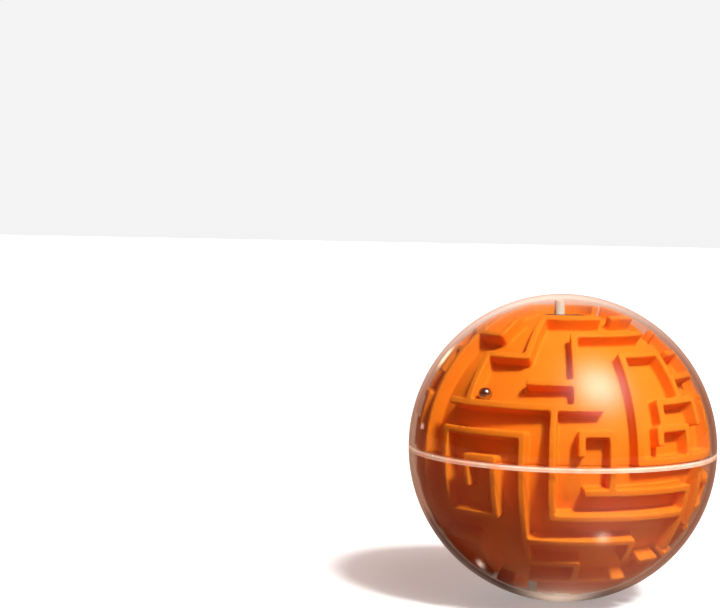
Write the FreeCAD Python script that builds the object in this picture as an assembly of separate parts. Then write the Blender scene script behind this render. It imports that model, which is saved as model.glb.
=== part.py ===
import FreeCAD, Part
import math
import os

# Clear sphere maze puzzle. Millimetres, +Z up, origin at the centre of the sphere.
# Longitude 0 faces -Y and grows towards +X; latitude is measured from the equator.

# ---- driving dimensions -------------------------------------------------
SHELL_R = 47.5          # outer radius of the clear sphere
SHELL_WALL = 1.5        # shell wall
SEAM_CHAMFER = 0.4      # chamfer on each outer rim edge, the pair makes the seam groove
LAP_DEPTH = 1.2         # depth of the stepped lap joint at the seam
LAP_WALL = 0.7          # thickness of the inner lip
LAP_GAP = 0.1           # clearance in the lap joint

TOP_R = 45.5            # radius of the tops of the maze walls
FLOOR_R = 41.6          # radius of the channel floor
CORE_IN_R = 39.6        # inner radius of the hollow core
WALL_T = 2.15           # thickness of the maze walls

PEG_D = 2.4             # locating pegs between the core halves
PEG_L = 4.0
PEG_SOCKET_D = 2.5
PEG_BOSS_D = 5.0
PEG_BOSS_L = 7.0
PEG_CIRCLE_R = 37.0
PEG_ANGLES = (20, 110, 200, 290)

PAD_D = 12.4            # round pads let into the floor at the poles
PAD_T = 0.8
PAD_TOP_Z = 41.1
PAD_POCKET_D = 12.6
POLE_BOSS_D = 16.0      # thickening behind each pole pocket
POLE_BOSS_Z = 37.5

PIN_OD = 3.2            # hollow pins that key the core to the shell
PIN_ID = 1.0
PIN_POCKET_D = 3.3
PIN_FOOT_Z = 38.7
PIN_TOP_Z = 45.7
PIN_UP_XY = (-1.6, 2.4)
PIN_DOWN_XY = (-2.9, 0.0)
SPIGOT_D = 0.9          # spigot moulded in the shell, inside the pin's bore
SPIGOT_END_Z = 43.6

BALL_D = 4.0            # loose steel ball
BALL_R_POS = 43.7       # radius of the ball's centre
BALL_LON = -34.65
BALL_LAT = 25.9

# ---- maze layout (degrees) ----------------------------------------------
# Ring walls follow a latitude: (latitude, from longitude, to longitude)
FRONT_RINGS = [
    (64, -18.3, 31), (64, 41, 142.8), (53.6, 5.8, 56), (52, -72, -41), (43.2, 30, 54.6),
    (42, -40.7, -18.3), (32.5, 55.5, 75.2), (31.3, -16, 5.8), (23.3, 41.6, 64.5),
    (21.7, -51, 16.5), (13.3, 39.5, 54.8), (12.3, 7.4, 19.1), (11, -51, -14.6),
    (1.5, -37.5, -25.8), (1.5, 30, 75.2), (-9.4, 8.5, 55.5), (-19.4, -3.3, 55.5),
    (-20.2, -48.7, -25.8), (-30, -14.6, 32), (-31.5, -59.8, -38.5), (-40.8, -14.6, 8.6),
]
# Meridian walls follow a longitude: (longitude, lower latitude, upper latitude)
FRONT_MERIDIANS = [
    (-62.5, -52, 75.5), (-48.7, -20.2, 11), (-41, 52, 64), (-40.7, 21.7, 42), (-38.5, -50, -31.5),
    (-37.5, -9.5, 1.5), (-25.8, -20.2, 1.5), (-18.3, 42, 64), (-14.6, -40.8, 11),
    (-3.3, -19.4, 21.7), (5.8, 21.7, 53.6), (7.4, 4, 12.3), (8.6, -54.5, -40.8),
    (19.1, -9.4, 12.3), (30, 1.5, 43.2), (32, -40, -30), (39.5, 7, 13.3), (41.6, 13.3, 23.3),
    (54.6, 23.3, 43.2), (54.8, 1.5, 13.3), (55.5, -36, -9.4), (63.8, -26, 1.5),
    (64.5, 13, 23.3),
]
REAR_RINGS = [
    (75.5, 120.2, 297.5), (64, 232.8, 277.8), (53.5, 75.2, 97.8), (53.5, 142.8, 210.2),
    (53.5, 232.8, 277.8), (42.6, 64, 86.5), (42.6, 97.8, 109), (42.6, 120.2, 199),
    (42.6, 221.5, 232.8), (42.6, 255.2, 277.8), (42.6, 289, 297.5), (31.6, 75.2, 86.5),
    (31.6, 109, 131.5), (31.6, 210.2, 221.5), (31.6, 232.8, 266.5), (21.7, 86.5, 97.8),
    (21.7, 120.2, 131.5), (21.7, 165.2, 176.5), (21.7, 199, 210.2), (21.7, 221.5, 255.2),
    (21.7, 266.5, 289), (11.5, 131.5, 142.8), (11.5, 154, 165.2), (11.5, 176.5, 199),
    (11.5, 210.2, 221.5), (11.5, 232.8, 266.5), (1.5, 86.5, 131.5), (1.5, 142.8, 187.8),
    (1.5, 210.2, 221.5), (1.5, 244, 277.8), (-9.4, 75.2, 120.2), (-9.4, 131.5, 165.2),
    (-9.4, 199, 232.8), (-9.4, 255.2, 289), (-19.4, 64, 120.2), (-19.4, 187.8, 210.2),
    (-19.4, 232.8, 244), (-19.4, 255.2, 266.5), (-30, 75.2, 86.5), (-30, 109, 131.5),
    (-30, 142.8, 154), (-30, 244, 255.2), (-30, 277.8, 297.5), (-40.8, 41.6, 54.6),
    (-40.8, 64, 75.2), (-40.8, 97.8, 109), (-40.8, 154, 165.2), (-40.8, 176.5, 221.5),
    (-40.8, 244, 277.8), (-52, -18.3, 54.6), (-52, 97.8, 142.8), (-52, 232.8, 255.2),
    (-52, 277.8, 297.5), (-54, 146, 233), (-63, -62.5, -40.7), (-63, -18.3, 75.2),
    (-66, 70, 164), (-75.5, 20, 75), (-75.5, 190, 240),
]
REAR_MERIDIANS = [
    (-62.5, -75.5, -63), (54.6, -52, -40.8),
    (75.2, 64, 75.5), (75.2, 1.5, 21.7), (75.2, -63, -40.8), (86.5, 31.6, 42.6),
    (86.5, 1.5, 11.5), (86.5, -19.4, -9.4), (86.5, -40.8, -30), (97.8, 11.5, 53.5), (97.8, -40.8, -19.4),
    (97.8, -63, -52), (109, 31.6, 42.6), (109, 1.5, 21.7), (120.2, 42.6, 64),
    (120.2, 11.5, 21.7), (120.2, -52, -30), (131.5, 21.7, 31.6),
    (131.5, -66, 1.5), (142.8, 1.5, 42.6), (142.8, -19.4, -9.4), (142.8, -52, -30),
    (152.8, -54, -40.8), (154, 11.5, 31.6), (154, -30, -19.4), (165.2, 53.5, 75.5),
    (165.2, 31.6, 42.6), (165.2, 11.5, 21.7), (165.2, -40.8, -9.4), (176.5, 21.7, 31.6),
    (176.5, -40.8, 1.5), (187.8, 53.5, 64), (187.8, 11.5, 31.6), (187.8, -30, -9.4),
    (199, 21.7, 42.6), (199, -9.4, 11.5), (199, -40.8, -30), (210.2, 64, 75.5),
    (210.2, 42.6, 53.5), (210.2, 11.5, 21.7), (210.2, -30, -19.4), (210.2, -75.5, -54),
    (221.5, 21.7, 42.6), (221.5, 1.5, 11.5), (221.5, -40.8, -9.4), (232.8, 42.6, 53.5),
    (232.8, -9.4, 11.5), (232.8, -52, -19.4), (244, 31.6, 42.6), (244, -30, 1.5),
    (255.2, -19.4, -9.4), (255.2, -63, -52), (266.5, 42.6, 53.5), (266.5, 11.5, 31.6), (266.5, -40.8, -19.4),
    (277.8, 53.5, 64), (277.8, 31.6, 42.6), (277.8, 1.5, 11.5), (277.8, -30, -19.4),
    (277.8, -63, -40.8), (289, 31.6, 42.6), (289, -19.4, 21.7),
]
RINGS = FRONT_RINGS + REAR_RINGS
MERIDIANS = FRONT_MERIDIANS + REAR_MERIDIANS

V = FreeCAD.Vector
Z = V(0, 0, 1)
O = V(0, 0, 0)
os.makedirs("parts", exist_ok=True)


def sph(r, lon, lat):
    lo, la = math.radians(lon), math.radians(lat)
    return V(r * math.cos(la) * math.sin(lo), -r * math.cos(la) * math.cos(lo), r * math.sin(la))


def polar(r, lat):
    """Point in the XZ plane at radius r and latitude lat."""
    la = math.radians(lat)
    return V(r * math.cos(la), 0, r * math.sin(la))


def face(edges):
    return Part.Face(Part.Wire(edges))


def line(a, b):
    return Part.LineSegment(a, b).toShape()


def arc(r, lat0, lat1):
    return Part.Arc(polar(r, lat0), polar(r, (lat0 + lat1) / 2.0), polar(r, lat1)).toShape()


TOP_BALL = Part.makeSphere(TOP_R)
BURIED_R = 40.7         # foot of the walls, inside the floor
PROUD_R = 46.6          # walls are trimmed from here to TOP_R


def ring_wall(lat, a, b):
    """Wall of constant thickness along a latitude, with radial flanks."""
    u = polar(1.0, lat)
    n = V(-u.z, 0, u.x)
    h = WALL_T / 2.0
    p = [u * BURIED_R - n * h, u * PROUD_R - n * h, u * PROUD_R + n * h, u * BURIED_R + n * h]
    f = face([line(p[i], p[(i + 1) % 4]) for i in range(4)])
    s = f.revolve(O, Z, b - a)
    s.rotate(O, Z, a - 90)
    return s.common(TOP_BALL)


def meridian_wall(lon, lat0, lat1):
    """Wall of constant thickness along a longitude."""
    f = face([line(polar(BURIED_R, lat0), polar(PROUD_R, lat0)), arc(PROUD_R, lat0, lat1),
              line(polar(PROUD_R, lat1), polar(BURIED_R, lat1)), arc(BURIED_R, lat1, lat0)])
    s = f.extrude(V(0, WALL_T, 0))
    s.translate(V(0, -WALL_T / 2.0, 0))
    s.rotate(O, Z, lon - 90)
    return s.common(TOP_BALL)


def corner_post(lon, lat):
    """Round outer corner where two wall ends meet."""
    d = sph(1.0, lon, lat)
    return Part.makeCylinder(WALL_T / 2.0 - 0.03, PROUD_R - BURIED_R, d * BURIED_R, d).common(TOP_BALL)


def wrap(a):
    return (a + 90.0) % 360.0


def corners():
    """Corners are points that are an end of a ring wall and an end of a meridian wall."""
    out = []
    for lat, a, b in RINGS:
        for e in (a, b):
            for lon, l0, l1 in MERIDIANS:
                if abs(wrap(e) - wrap(lon)) < 0.6 and (abs(lat - l0) < 0.6 or abs(lat - l1) < 0.6):
                    out.append((lon, lat))
    return sorted(set(out))


def hemisphere(r, up):
    s = Part.makeSphere(r)
    box = Part.makeBox(200, 200, 100, V(-100, -100, 0 if up else -100))
    return s.common(box)


def core_half(up):
    sg = 1 if up else -1
    ring_walls = [ring_wall(lat, a, b) for lat, a, b in RINGS if lat * sg > 0]
    meridian_walls = []
    for lon, l0, l1 in MERIDIANS:
        if up:
            l0 = max(l0, 0.0)
        else:
            l1 = min(l1, 0.0)
        if l1 - l0 > 0.5:
            meridian_walls.append(meridian_wall(lon, l0, l1))
    posts = [corner_post(lon, lat) for lon, lat in corners() if lat * sg > 0]
    body = hemisphere(FLOOR_R, up).cut(Part.makeSphere(CORE_IN_R))
    # thickening behind the pole pocket
    zb = POLE_BOSS_Z if up else -40.6
    boss = Part.makeCylinder(POLE_BOSS_D / 2.0, 40.6 - POLE_BOSS_Z, V(0, 0, zb))
    body = body.fuse(boss)
    # locating bosses on the lower half, pegs on the upper half
    for ang in PEG_ANGLES:
        x = PEG_CIRCLE_R * math.cos(math.radians(ang))
        y = PEG_CIRCLE_R * math.sin(math.radians(ang))
        if up:
            b = Part.makeCylinder(PEG_BOSS_D / 2.0, PEG_BOSS_L, V(x, y, 0))
            p = Part.makeCylinder(PEG_D / 2.0, PEG_L + 2.0, V(x, y, -PEG_L))
            body = body.fuse([b, p])
        else:
            b = Part.makeCylinder(PEG_BOSS_D / 2.0, PEG_BOSS_L, V(x, y, -PEG_BOSS_L))
            body = body.fuse(b)
    for group in (ring_walls, meridian_walls, posts):
        body = body.fuse(group)
    cuts = []
    if not up:
        for ang in PEG_ANGLES:
            x = PEG_CIRCLE_R * math.cos(math.radians(ang))
            y = PEG_CIRCLE_R * math.sin(math.radians(ang))
            cuts.append(Part.makeCylinder(PEG_SOCKET_D / 2.0, PEG_L + 0.5, V(x, y, -PEG_L - 0.5)))
    px, py = PIN_UP_XY if up else PIN_DOWN_XY
    pad_z = PAD_TOP_Z - PAD_T
    if up:
        cuts.append(Part.makeCylinder(PAD_POCKET_D / 2.0, 4, V(0, 0, pad_z)))
        cuts.append(Part.makeCylinder(PIN_POCKET_D / 2.0, 6, V(px, py, PIN_FOOT_Z - 0.1)))
    else:
        cuts.append(Part.makeCylinder(PAD_POCKET_D / 2.0, 4, V(0, 0, -pad_z - 4)))
        cuts.append(Part.makeCylinder(PIN_POCKET_D / 2.0, 6, V(px, py, -PIN_FOOT_Z + 0.1 - 6)))
    body = body.cut(cuts)
    return body


def shell_half(up):
    """Clear hemisphere with a stepped lap joint at its rim, and the pin spigot at its pole."""
    ri = SHELL_R - SHELL_WALL
    c = SEAM_CHAMFER
    lip_r = ri + LAP_WALL
    lat_c = math.degrees(math.asin(c / SHELL_R))
    if up:
        e = [arc(SHELL_R, lat_c, 90), line(V(0, 0, SHELL_R), V(0, 0, ri)), arc(ri, 90, 0),
             line(V(ri, 0, 0), V(ri, 0, -LAP_DEPTH)), line(V(ri, 0, -LAP_DEPTH), V(lip_r, 0, -LAP_DEPTH)),
             line(V(lip_r, 0, -LAP_DEPTH), V(lip_r, 0, 0)),
             line(V(lip_r, 0, 0), V(SHELL_R - c, 0, 0)),
             line(V(SHELL_R - c, 0, 0), polar(SHELL_R, lat_c))]
        sx, sy = PIN_UP_XY
    else:
        g = LAP_DEPTH + LAP_GAP
        lat_g = -math.degrees(math.asin(g / ri))
        rec = lip_r + LAP_GAP
        q = polar(ri, lat_g)
        e = [arc(SHELL_R, -lat_c, -90), line(V(0, 0, -SHELL_R), V(0, 0, -ri)), arc(ri, -90, lat_g),
             line(q, V(rec, 0, -g)), line(V(rec, 0, -g), V(rec, 0, 0)),
             line(V(rec, 0, 0), V(SHELL_R - c, 0, 0)),
             line(V(SHELL_R - c, 0, 0), polar(SHELL_R, -lat_c))]
        sx, sy = PIN_DOWN_XY
    s = face(Part.__sortEdges__(e)).revolve(O, Z, 360)
    z0 = SPIGOT_END_Z if up else -(ri + 0.6)
    spigot = Part.makeCylinder(SPIGOT_D / 2.0, ri + 0.6 - SPIGOT_END_Z, V(sx, sy, z0))
    return s.fuse(spigot)


def pad(up):
    px, py = PIN_UP_XY if up else PIN_DOWN_XY
    z = PAD_TOP_Z - PAD_T if up else -PAD_TOP_Z
    disc = Part.makeCylinder(PAD_D / 2.0, PAD_T, V(0, 0, z))
    rim = [ed for ed in disc.Edges
           if abs(abs(ed.BoundBox.ZMin) - PAD_TOP_Z) < 1e-6 and abs(abs(ed.BoundBox.ZMax) - PAD_TOP_Z) < 1e-6]
    disc = disc.makeFillet(0.2, rim)
    return disc.cut(Part.makeCylinder(PIN_POCKET_D / 2.0, 4, V(px, py, z - 1)))


def pin(up):
    px, py = PIN_UP_XY if up else PIN_DOWN_XY
    z = PIN_FOOT_Z if up else -PIN_TOP_Z
    length = PIN_TOP_Z - PIN_FOOT_Z
    s = Part.makeCylinder(PIN_OD / 2.0, length, V(px, py, z))
    ztop = PIN_TOP_Z if up else -PIN_TOP_Z
    rim = [ed for ed in s.Edges
           if abs(ed.BoundBox.ZMin - ztop) < 1e-6 and abs(ed.BoundBox.ZMax - ztop) < 1e-6]
    s = s.makeFillet(0.2, rim)
    return s.cut(Part.makeCylinder(PIN_ID / 2.0, length + 2, V(px, py, z - 1)))


def steel_ball():
    return Part.makeSphere(BALL_D / 2.0, sph(BALL_R_POS, BALL_LON, BALL_LAT))


def save(name, shape):
    if shape.ShapeType == "Compound" and len(shape.Solids) == 1:
        shape = shape.Solids[0]
    print(name, shape.ShapeType, "solids", len(shape.Solids), "valid", shape.isValid(),
          "volume", round(shape.Volume, 2), "faces", len(shape.Faces))
    shape.exportStep(os.path.join("parts", name + ".step"))


save("shell_upper", shell_half(True))
save("shell_lower", shell_half(False))
save("maze_core_upper", core_half(True))
save("maze_core_lower", core_half(False))
save("start_pad", pad(True))
save("finish_pad", pad(False))
save("pole_pin_upper", pin(True))
save("pole_pin_lower", pin(False))
save("steel_ball", steel_ball())
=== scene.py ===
import bpy
import bmesh
import math
from mathutils import Matrix, Vector


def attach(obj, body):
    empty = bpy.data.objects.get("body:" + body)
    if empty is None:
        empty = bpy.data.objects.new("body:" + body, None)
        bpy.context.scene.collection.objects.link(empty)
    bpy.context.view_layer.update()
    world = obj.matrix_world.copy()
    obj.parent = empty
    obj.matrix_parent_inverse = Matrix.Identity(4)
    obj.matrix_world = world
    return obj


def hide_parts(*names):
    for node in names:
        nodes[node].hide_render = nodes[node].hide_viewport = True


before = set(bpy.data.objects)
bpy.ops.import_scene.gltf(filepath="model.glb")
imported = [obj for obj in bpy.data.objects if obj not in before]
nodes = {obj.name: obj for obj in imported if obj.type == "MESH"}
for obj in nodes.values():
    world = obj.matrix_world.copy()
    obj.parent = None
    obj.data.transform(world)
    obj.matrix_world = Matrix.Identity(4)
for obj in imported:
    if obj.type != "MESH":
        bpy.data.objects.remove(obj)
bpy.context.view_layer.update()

# Metres, +Z up, origin at the centre of the clear sphere.
scene = bpy.context.scene
MM = 0.001
HOUSING = "ball_housing"
SUN_S, KEY_S, BACK_S, BROWN_S = 4.1, 6.6, 1.0, 1.1   # lamps
GLOW_S, GLINT_S = 0.42, 5.5   # painted pool of light and painted glint, glowing on the table
AMBIENT = (0.17, 0.034, 0.010)

SHELL_R, SHELL_IN_R = 47.5, 46.0
SEAM_C, LIP_R, LIP_D, GAP = 0.40, 46.7, 1.2, 0.1


def lin(r, g, b):
    """sRGB 0-255 to linear."""
    out = []
    for c in (r, g, b):
        c /= 255.0
        out.append(c / 12.92 if c <= 0.04045 else ((c + 0.055) / 1.055) ** 2.4)
    return (*out, 1.0)


# ------------------------------------------------------------------ materials
def new_material(name):
    m = bpy.data.materials.new(name)
    m.use_nodes = True
    nt = m.node_tree
    nt.nodes.clear()
    out = nt.nodes.new("ShaderNodeOutputMaterial")
    p = nt.nodes.new("ShaderNodeBsdfPrincipled")
    nt.links.new(p.outputs["BSDF"], out.inputs["Surface"])
    return m, nt, p, out


def noise(nt, scale, detail=4.0, rough=0.55, dist=0.0, vector=None):
    n = nt.nodes.new("ShaderNodeTexNoise")
    n.inputs["Scale"].default_value = scale
    n.inputs["Detail"].default_value = detail
    n.inputs["Roughness"].default_value = rough
    n.inputs["Distortion"].default_value = dist
    if vector is not None:
        nt.links.new(vector, n.inputs["Vector"])
    return n


def ramp(nt, src, stops):
    r = nt.nodes.new("ShaderNodeValToRGB")
    e = r.color_ramp.elements
    while len(e) < len(stops):
        e.new(0.5)
    for el, (pos, col) in zip(e, stops):
        el.position = pos
        el.color = col
    nt.links.new(src, r.inputs["Fac"])
    return r


def to_range(nt, src, lo, hi, f0=0.0, f1=1.0):
    r = nt.nodes.new("ShaderNodeMapRange")
    r.inputs["From Min"].default_value = f0
    r.inputs["From Max"].default_value = f1
    r.inputs["To Min"].default_value = lo
    r.inputs["To Max"].default_value = hi
    nt.links.new(src, r.inputs["Value"])
    return r


def obj_coords(nt):
    return nt.nodes.new("ShaderNodeTexCoord").outputs["Object"]


def bump(nt, p, height, strength, distance):
    b = nt.nodes.new("ShaderNodeBump")
    b.inputs["Strength"].default_value = strength
    b.inputs["Distance"].default_value = distance
    nt.links.new(height, b.inputs["Height"])
    nt.links.new(b.outputs["Normal"], p.inputs["Normal"])
    return b


def orange_plastic():
    m, nt, p, out = new_material("orange_plastic")
    oc = obj_coords(nt)
    flow = noise(nt, 38.0, 3.0, 0.5, 0.6, oc)
    col = ramp(nt, flow.outputs["Fac"], [
        (0.30, lin(250, 133, 25)), (0.50, lin(253, 139, 31)), (0.72, lin(255, 146, 38))])
    nt.links.new(col.outputs["Color"], p.inputs["Base Color"])
    grain = noise(nt, 900.0, 3.0, 0.6, 0.0, oc)
    wear = noise(nt, 120.0, 5.0, 0.6, 0.2, oc)
    r = to_range(nt, wear.outputs["Fac"], 0.46, 0.60, 0.3, 0.7)
    nt.links.new(r.outputs["Result"], p.inputs["Roughness"])
    p.inputs["Subsurface Weight"].default_value = 0.08
    p.inputs["Subsurface Radius"].default_value = (1.0, 0.32, 0.10)
    p.inputs["Subsurface Scale"].default_value = 0.0010
    p.inputs["Specular IOR Level"].default_value = 0.35
    p.inputs["IOR"].default_value = 1.49
    bump(nt, p, grain.outputs["Fac"], 0.16, 0.00006)
    return m


def clear_plastic(name, frosted=False):
    """Moulded clear plastic. It lets the lamps through, so that the maze inside is lit."""
    m, nt, p, out = new_material(name)
    oc = obj_coords(nt)
    haze = noise(nt, 60.0, 5.0, 0.6, 0.4, oc)
    if frosted:
        r = to_range(nt, haze.outputs["Fac"], 0.25, 0.5, 0.3, 0.7)
    else:
        r = to_range(nt, haze.outputs["Fac"], 0.0, 0.035, 0.45, 0.85)
    nt.links.new(r.outputs["Result"], p.inputs["Roughness"])
    p.inputs["Base Color"].default_value = (0.985, 0.99, 0.99, 1.0)
    p.inputs["IOR"].default_value = 1.49
    p.inputs["Transmission Weight"].default_value = 1.0
    lp = nt.nodes.new("ShaderNodeLightPath")
    tr = nt.nodes.new("ShaderNodeBsdfTransparent")
    tr.inputs["Color"].default_value = (0.93, 0.94, 0.94, 1.0)
    mix = nt.nodes.new("ShaderNodeMixShader")
    nt.links.new(lp.outputs["Is Shadow Ray"], mix.inputs[0])
    nt.links.new(p.outputs["BSDF"], mix.inputs[1])
    nt.links.new(tr.outputs["BSDF"], mix.inputs[2])
    nt.links.new(mix.outputs["Shader"], out.inputs["Surface"])
    return m


def weld_plastic():
    """The glued seam: milky plastic, with a faint painted glow (emission) that brightens the seam line."""
    m, nt, p, out = new_material("seam_weld")
    oc = obj_coords(nt)
    n = noise(nt, 150.0, 4.0, 0.65, 0.4, oc)
    col = ramp(nt, n.outputs["Fac"], [(0.35, (1.0, 0.62, 0.44, 1.0)), (0.62, (1.0, 0.88, 0.77, 1.0))])
    nt.links.new(col.outputs["Color"], p.inputs["Base Color"])
    r = to_range(nt, n.outputs["Fac"], 0.12, 0.28, 0.3, 0.7)
    nt.links.new(r.outputs["Result"], p.inputs["Roughness"])
    p.inputs["IOR"].default_value = 1.49
    p.inputs["Transmission Weight"].default_value = 0.62
    # Painted glow: the seam emits a little warm light of its own, which brightens the seam line.
    p.inputs["Emission Color"].default_value = (1.0, 0.70, 0.52, 1.0)
    p.inputs["Emission Strength"].default_value = 0.16
    lp = nt.nodes.new("ShaderNodeLightPath")
    tr = nt.nodes.new("ShaderNodeBsdfTransparent")
    tr.inputs["Color"].default_value = (0.90, 0.88, 0.86, 1.0)
    mix = nt.nodes.new("ShaderNodeMixShader")
    nt.links.new(lp.outputs["Is Shadow Ray"], mix.inputs[0])
    nt.links.new(p.outputs["BSDF"], mix.inputs[1])
    nt.links.new(tr.outputs["BSDF"], mix.inputs[2])
    nt.links.new(mix.outputs["Shader"], out.inputs["Surface"])
    return m


def pad_black():
    m, nt, p, out = new_material("pad_black")
    oc = obj_coords(nt)
    n = noise(nt, 300.0, 4.0, 0.6, 0.0, oc)
    col = ramp(nt, n.outputs["Fac"], [(0.3, lin(16, 16, 17)), (0.75, lin(34, 33, 33))])
    nt.links.new(col.outputs["Color"], p.inputs["Base Color"])
    r = to_range(nt, n.outputs["Fac"], 0.18, 0.38, 0.3, 0.7)
    nt.links.new(r.outputs["Result"], p.inputs["Roughness"])
    bump(nt, p, n.outputs["Fac"], 0.12, 0.00005)
    return m


def pin_white():
    m, nt, p, out = new_material("pin_white")
    oc = obj_coords(nt)
    n = noise(nt, 260.0, 4.0, 0.6, 0.0, oc)
    col = ramp(nt, n.outputs["Fac"], [(0.3, lin(248, 238, 212)), (0.75, lin(254, 250, 236))])
    nt.links.new(col.outputs["Color"], p.inputs["Base Color"])
    r = to_range(nt, n.outputs["Fac"], 0.40, 0.58, 0.3, 0.7)
    nt.links.new(r.outputs["Result"], p.inputs["Roughness"])
    p.inputs["Subsurface Weight"].default_value = 0.3
    p.inputs["Subsurface Radius"].default_value = (1.0, 0.8, 0.6)
    p.inputs["Subsurface Scale"].default_value = 0.0008
    bump(nt, p, n.outputs["Fac"], 0.1, 0.00004)
    return m


def ball_steel():
    m, nt, p, out = new_material("ball_steel")
    oc = obj_coords(nt)
    n = noise(nt, 700.0, 4.0, 0.6, 0.0, oc)
    col = ramp(nt, n.outputs["Fac"], [(0.3, lin(176, 176, 180)), (0.75, lin(205, 205, 208))])
    nt.links.new(col.outputs["Color"], p.inputs["Base Color"])
    p.inputs["Metallic"].default_value = 1.0
    r = to_range(nt, n.outputs["Fac"], 0.05, 0.14, 0.3, 0.7)
    nt.links.new(r.outputs["Result"], p.inputs["Roughness"])
    return m


ORANGE = orange_plastic()
CLEAR = clear_plastic("clear_shell")
WELD = weld_plastic()
PAD = pad_black()
PIN = pin_white()
STEEL = ball_steel()


def set_material(obj, *mats):
    obj.data.materials.clear()
    for m in mats:
        obj.data.materials.append(m)


# ------------------------------------------------------------------ maze core
def soft_core(node):
    """The core half with the small edge radii that moulded plastic has."""
    src = nodes[node]
    me = src.data.copy()
    me.name = node + "_moulded"
    obj = bpy.data.objects.new(node + "_moulded", me)
    scene.collection.objects.link(obj)
    bm = bmesh.new()
    bm.from_mesh(me)
    bmesh.ops.remove_doubles(bm, verts=bm.verts, dist=2e-6)
    bm.to_mesh(me)
    bm.free()
    rm = obj.modifiers.new("Remesh", "REMESH")
    rm.mode = "VOXEL"
    rm.voxel_size = 0.36 * MM
    rm.adaptivity = 0.0
    rm.use_smooth_shade = True
    sm = obj.modifiers.new("Smooth", "SMOOTH")
    sm.factor = 0.5
    sm.iterations = 5
    de = obj.modifiers.new("Decimate", "DECIMATE")
    de.ratio = 0.24
    dg = bpy.context.evaluated_depsgraph_get()
    done = bpy.data.meshes.new_from_object(obj.evaluated_get(dg), depsgraph=dg)
    obj.modifiers.clear()
    obj.data = done
    done.shade_smooth()
    set_material(obj, ORANGE)
    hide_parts(node)
    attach(obj, HOUSING)
    print(node, "verts", len(done.vertices), "faces", len(done.polygons))
    return obj


core_up = soft_core("maze_core_upper")
core_down = soft_core("maze_core_lower")


# ------------------------------------------------------------------ clear shell
def arc_pts(r, a0, a1, step=1.0):
    n = max(2, int(round(abs(a1 - a0) / step)))
    return [(r * math.cos(math.radians(a0 + (a1 - a0) * i / n)),
             r * math.sin(math.radians(a0 + (a1 - a0) * i / n))) for i in range(n + 1)]


def lathe(name, profile, weld, segs=320):
    """Revolves a closed (r, z) profile, whose first and last points are on the axis. weld[i] marks the band after point i as seam."""
    verts, faces, mat = [], [], []
    rings = []
    for r, z in profile:
        if r < 1e-6:
            rings.append([len(verts)])
            verts.append((0.0, 0.0, z * MM))
        else:
            base = len(verts)
            rings.append(list(range(base, base + segs)))
            for k in range(segs):
                a = 2 * math.pi * k / segs
                verts.append((r * math.cos(a) * MM, r * math.sin(a) * MM, z * MM))
    for i in range(len(profile) - 1):
        a, b = rings[i], rings[i + 1]
        for k in range(segs):
            k2 = (k + 1) % segs
            if len(a) == 1:
                f = (a[0], b[k2], b[k])
            elif len(b) == 1:
                f = (a[k], a[k2], b[0])
            else:
                f = (a[k], a[k2], b[k2], b[k])
            faces.append(f)
            mat.append(1 if weld[i] else 0)
    me = bpy.data.meshes.new(name)
    me.materials.append(CLEAR)
    me.materials.append(WELD)
    me.from_pydata(verts, [], faces)
    me.update()
    bm = bmesh.new()
    bm.from_mesh(me)
    for f, mi in zip(bm.faces, mat):
        f.material_index = mi
    bmesh.ops.recalc_face_normals(bm, faces=bm.faces)
    bm.to_mesh(me)
    bm.free()
    me.shade_smooth()
    me.set_sharp_from_angle(angle=math.radians(25))
    obj = bpy.data.objects.new(name, me)
    scene.collection.objects.link(obj)
    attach(obj, HOUSING)
    return obj


lat_c = math.degrees(math.asin(SEAM_C / SHELL_R))
HAIR = 0.015   # the two rims never share a face
up = arc_pts(SHELL_R, 90, lat_c)
n_up = len(up)
up += [(SHELL_R - SEAM_C, HAIR), (LIP_R, HAIR), (LIP_R, -LIP_D), (SHELL_IN_R, -LIP_D)]
up += arc_pts(SHELL_IN_R, 0, 90)
up[0] = (0.0, SHELL_R)
up[-1] = (0.0, SHELL_IN_R)
w_up = [False] * (len(up) - 1)
for i in range(n_up - 1, n_up + 3):
    w_up[i] = True
shell_up = lathe("shell_upper_clear", up, w_up)
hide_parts("shell_upper")

g = LIP_D + GAP
lat_g = -math.degrees(math.asin(g / SHELL_IN_R))
dn = arc_pts(SHELL_R, -90, -lat_c)
n_dn = len(dn)
dn += [(SHELL_R - SEAM_C, -HAIR), (LIP_R + GAP, -HAIR), (LIP_R + GAP, -g)]
dn += arc_pts(SHELL_IN_R, lat_g, -90)
dn[0] = (0.0, -SHELL_R)
dn[-1] = (0.0, -SHELL_IN_R)
w_dn = [False] * (len(dn) - 1)
for i in range(n_dn - 1, n_dn + 3):
    w_dn[i] = True
shell_dn = lathe("shell_lower_clear", dn, w_dn)
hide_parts("shell_lower")

# ------------------------------------------------------------------ small pieces
for n, m in (("start_pad", PAD), ("finish_pad", PAD), ("pole_pin_upper", PIN),
             ("pole_pin_lower", PIN), ("steel_ball", STEEL)):
    set_material(nodes[n], m)
for n, m in (("maze_core_upper", ORANGE), ("maze_core_lower", ORANGE),
             ("shell_upper", CLEAR), ("shell_lower", CLEAR)):
    set_material(nodes[n], m)

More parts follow.
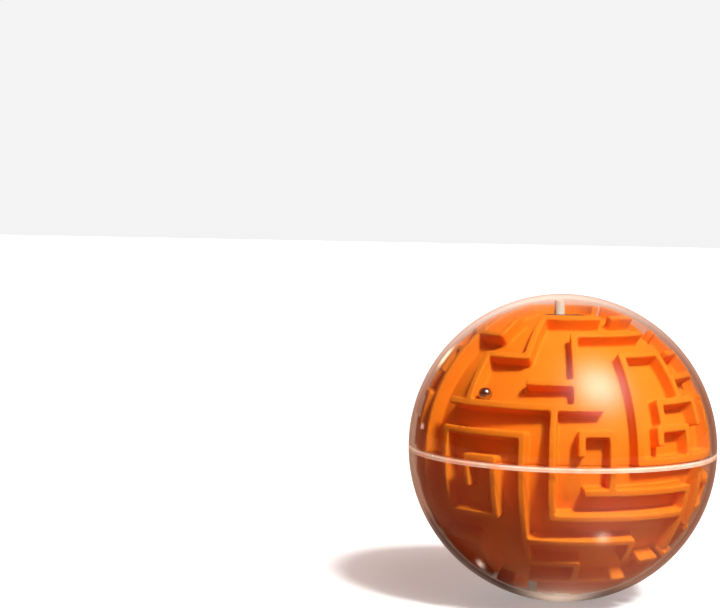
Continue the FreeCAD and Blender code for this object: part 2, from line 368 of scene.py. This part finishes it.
# ------------------------------------------------------------------ floor
floor_z = -SHELL_R * MM
bm = bmesh.new()
bmesh.ops.create_grid(bm, x_segments=1, y_segments=1, size=4.0)
me = bpy.data.meshes.new("floor")
bm.to_mesh(me)
bm.free()
floor = bpy.data.objects.new("floor", me)
floor.location = (0, 0, floor_z)
scene.collection.objects.link(floor)
fm, fnt, fp, fout = new_material("floor_paper")
fn = noise(fnt, 6.0, 3.0, 0.5, 0.0, obj_coords(fnt))
fc = ramp(fnt, fn.outputs["Fac"], [(0.3, (0.84, 0.87, 0.89, 1.0)), (0.7, (0.86, 0.89, 0.91, 1.0))])
fnt.links.new(fc.outputs["Color"], fp.inputs["Base Color"])
fp.inputs["Roughness"].default_value = 0.6
fp.inputs["Specular IOR Level"].default_value = 0.2
fp.inputs["Emission Color"].default_value = (1.0, 1.0, 1.0, 1.0)
fp.inputs["Emission Strength"].default_value = 0.30
# The table as reflections and bounced light see it: a darker, brown-tinted copy of the paper. It paints shade and a
# warm tint into what the shell reflects, and it carries the painted light below.
fd = fnt.nodes.new("ShaderNodeBsdfPrincipled")
fd.inputs["Base Color"].default_value = (0.20, 0.085, 0.05, 1.0)
fd.inputs["Roughness"].default_value = 0.30


def floor_glow(x, y, radius, strength):
    """Painted pool of lamp light on the table: the floor glows (emission), strongest at (x, y)."""
    d = fnt.nodes.new("ShaderNodeVectorMath")
    d.operation = "DISTANCE"
    d.inputs[1].default_value = (x, y, 0.0)
    fnt.links.new(obj_coords(fnt), d.inputs[0])
    v = d.outputs["Value"]
    for op, k in (("DIVIDE", radius), ("POWER", 2.0), ("MULTIPLY", -1.0), ("EXPONENT", None), ("MULTIPLY", strength)):
        n = fnt.nodes.new("ShaderNodeMath")
        n.operation = op
        fnt.links.new(v, n.inputs[0])
        if k is not None:
            n.inputs[1].default_value = k
        v = n.outputs[0]
    return v


# Painted light glowing on the table: a wide painted pool of lamp light at the front right, a painted glint where the
# key lamp reflects in the table, a second small painted glint on the left, and a painted glow just in front of where
# the ball stands.
fsum = fnt.nodes.new("ShaderNodeMath")
fsum.operation = "ADD"
fnt.links.new(floor_glow(0.048, -0.060, 0.044, GLOW_S), fsum.inputs[0])
fnt.links.new(floor_glow(0.026, -0.051, 0.0042, GLINT_S), fsum.inputs[1])
fsum2 = fnt.nodes.new("ShaderNodeMath")
fsum2.operation = "ADD"
fnt.links.new(fsum.outputs[0], fsum2.inputs[0])
fnt.links.new(floor_glow(-0.032, -0.012, 0.0020, 3.0), fsum2.inputs[1])
fsum3 = fnt.nodes.new("ShaderNodeMath")
fsum3.operation = "ADD"
fnt.links.new(fsum2.outputs[0], fsum3.inputs[0])
fnt.links.new(floor_glow(0.0, -0.014, 0.011, 0.7), fsum3.inputs[1])
fd.inputs["Emission Color"].default_value = (1.0, 0.76, 0.60, 1.0)
fnt.links.new(fsum3.outputs[0], fd.inputs["Emission Strength"])
# Camera rays see the pale paper; all other rays see the darker copy with its painted light.
flp = fnt.nodes.new("ShaderNodeLightPath")
fmix = fnt.nodes.new("ShaderNodeMixShader")
fnt.links.new(flp.outputs["Is Camera Ray"], fmix.inputs[0])
fnt.links.new(fd.outputs["BSDF"], fmix.inputs[1])
fnt.links.new(fp.outputs["BSDF"], fmix.inputs[2])
fnt.links.new(fmix.outputs["Shader"], fout.inputs["Surface"])
floor.data.materials.append(fm)

# ------------------------------------------------------------------ light
PITCH = math.radians(7.545)
VIEW_V = Vector((0.0, -math.cos(PITCH), math.sin(PITCH)))   # towards the camera
VIEW_R = Vector((1.0, 0.0, 0.0))
VIEW_U = VIEW_R.cross(-VIEW_V).normalized()


def studio(right, upward, toward):
    """A world direction, from its parts to the right, up and towards the camera."""
    return (VIEW_R * right + VIEW_U * upward + VIEW_V * toward).normalized()


# The world is a dim room with soft lamps in it. The backdrop itself is plain and pale.
world = bpy.data.worlds.new("studio")
scene.world = world
world.use_nodes = True
wn = world.node_tree
bg = wn.nodes["Background"]
coord = wn.nodes.new("ShaderNodeTexCoord").outputs["Generated"]


def lamp(direction, half_deg, strength, power=2.0):
    """A round soft lamp: strength * exp(-(angle/half)^power) about a direction."""
    dot = wn.nodes.new("ShaderNodeVectorMath")
    dot.operation = "DOT_PRODUCT"
    dot.inputs[1].default_value = direction
    wn.links.new(coord, dot.inputs[0])

    def math_node(op, src, value=None, clamp=False):
        n = wn.nodes.new("ShaderNodeMath")
        n.operation = op
        n.use_clamp = clamp
        wn.links.new(src, n.inputs[0])
        if value is not None:
            n.inputs[1].default_value = value
        return n.outputs[0]
    ang = math_node("ARCCOSINE", dot.outputs["Value"])
    x = math_node("DIVIDE", ang, math.radians(half_deg))
    x = math_node("POWER", x, power)
    x = math_node("MULTIPLY", x, -1.0)
    x = math_node("EXPONENT", x)
    return math_node("MULTIPLY", x, strength)


def tinted(value, colour):
    n = wn.nodes.new("ShaderNodeVectorMath")
    n.operation = "SCALE"
    n.inputs[0].default_value = colour
    wn.links.new(value, n.inputs["Scale"])
    return n.outputs["Vector"]


def plus(a, b):
    n = wn.nodes.new("ShaderNodeVectorMath")
    n.operation = "ADD"
    wn.links.new(a, n.inputs[0])
    if isinstance(b, tuple):
        n.inputs[1].default_value = b
    else:
        wn.links.new(b, n.inputs[1])
    return n.outputs["Vector"]


KEY = studio(0.41, 0.694, 0.592)
total = plus(tinted(lamp(KEY, 15.5, KEY_S), (1.0, 0.96, 0.93)), AMBIENT)
total = plus(total, tinted(lamp(studio(0.0, -0.10, -1.0), 45.0, BROWN_S), (0.22, 0.065, 0.025)))
total = plus(total, tinted(lamp(studio(-0.06, 0.42, -0.90), 20.0, BACK_S), (1.0, 0.86, 0.74)))
for d, half, power, colour in (
        ((-0.755, 0.084, -0.650), 1.4, 3.2, (1.0, 0.80, 0.68)),      # window panes
        ((-0.771, 0.041, -0.635), 1.4, 2.8, (1.0, 0.80, 0.68)),
        ((-0.477, 0.349, -0.807), 3.0, 2.6, (1.0, 0.86, 0.58))):     # small lamp behind
    total = plus(total, tinted(lamp(studio(*d), half, power, 4.0), colour))
lpw = wn.nodes.new("ShaderNodeLightPath")
mixw = wn.nodes.new("ShaderNodeMix")
mixw.data_type = "VECTOR"
wn.links.new(lpw.outputs["Is Camera Ray"], mixw.inputs["Factor"])
wn.links.new(total, [i for i in mixw.inputs if i.name == "A" and i.type == "VECTOR"][0])
[i for i in mixw.inputs if i.name == "B" and i.type == "VECTOR"][0].default_value = (0.90, 0.90, 0.90)
wn.links.new([o for o in mixw.outputs if o.type == "VECTOR"][0], bg.inputs["Color"])
bg.inputs["Strength"].default_value = 1.0

# The same lamp again as direct light, which casts the shadows.
sun_data = bpy.data.lights.new("key", "SUN")
sun_data.energy = SUN_S
sun_data.angle = math.radians(9.0)
sun_data.color = (1.0, 0.985, 0.96)
sun = bpy.data.objects.new("key", sun_data)
sun.rotation_euler = (-KEY).to_track_quat("-Z", "Y").to_euler()
sun.visible_glossy = False
sun.visible_transmission = False
scene.collection.objects.link(sun)

# ------------------------------------------------------------------ camera
DIST, F_PX = 0.600, 1919.0
CX, CY, ROLL = 561.6, 446.9, math.radians(1.5)
cam_data = bpy.data.cameras.new("camera")
cam_data.sensor_fit = "HORIZONTAL"
cam_data.sensor_width = 36.0
cam_data.lens = F_PX / 720.0 * 36.0
cam_data.clip_start = 0.01
cam_data.clip_end = 50.0
cam = bpy.data.objects.new("camera", cam_data)
scene.collection.objects.link(cam)
right = VIEW_R * math.cos(ROLL) + VIEW_U * math.sin(ROLL)
upv = VIEW_U * math.cos(ROLL) - VIEW_R * math.sin(ROLL)
look = Matrix((
    (right.x, upv.x, VIEW_V.x),
    (right.y, upv.y, VIEW_V.y),
    (right.z, upv.z, VIEW_V.z)))
to_ball = Vector(((CX - 360.0) / F_PX, -(CY - 304.0) / F_PX, -1.0)).normalized()
turn = to_ball.rotation_difference(Vector((0.0, 0.0, -1.0))).to_matrix()
cam.matrix_world = Matrix.Translation(VIEW_V * DIST) @ (look @ turn).to_4x4()
scene.camera = cam

scene.view_settings.view_transform = "Standard"
scene.view_settings.look = "None"
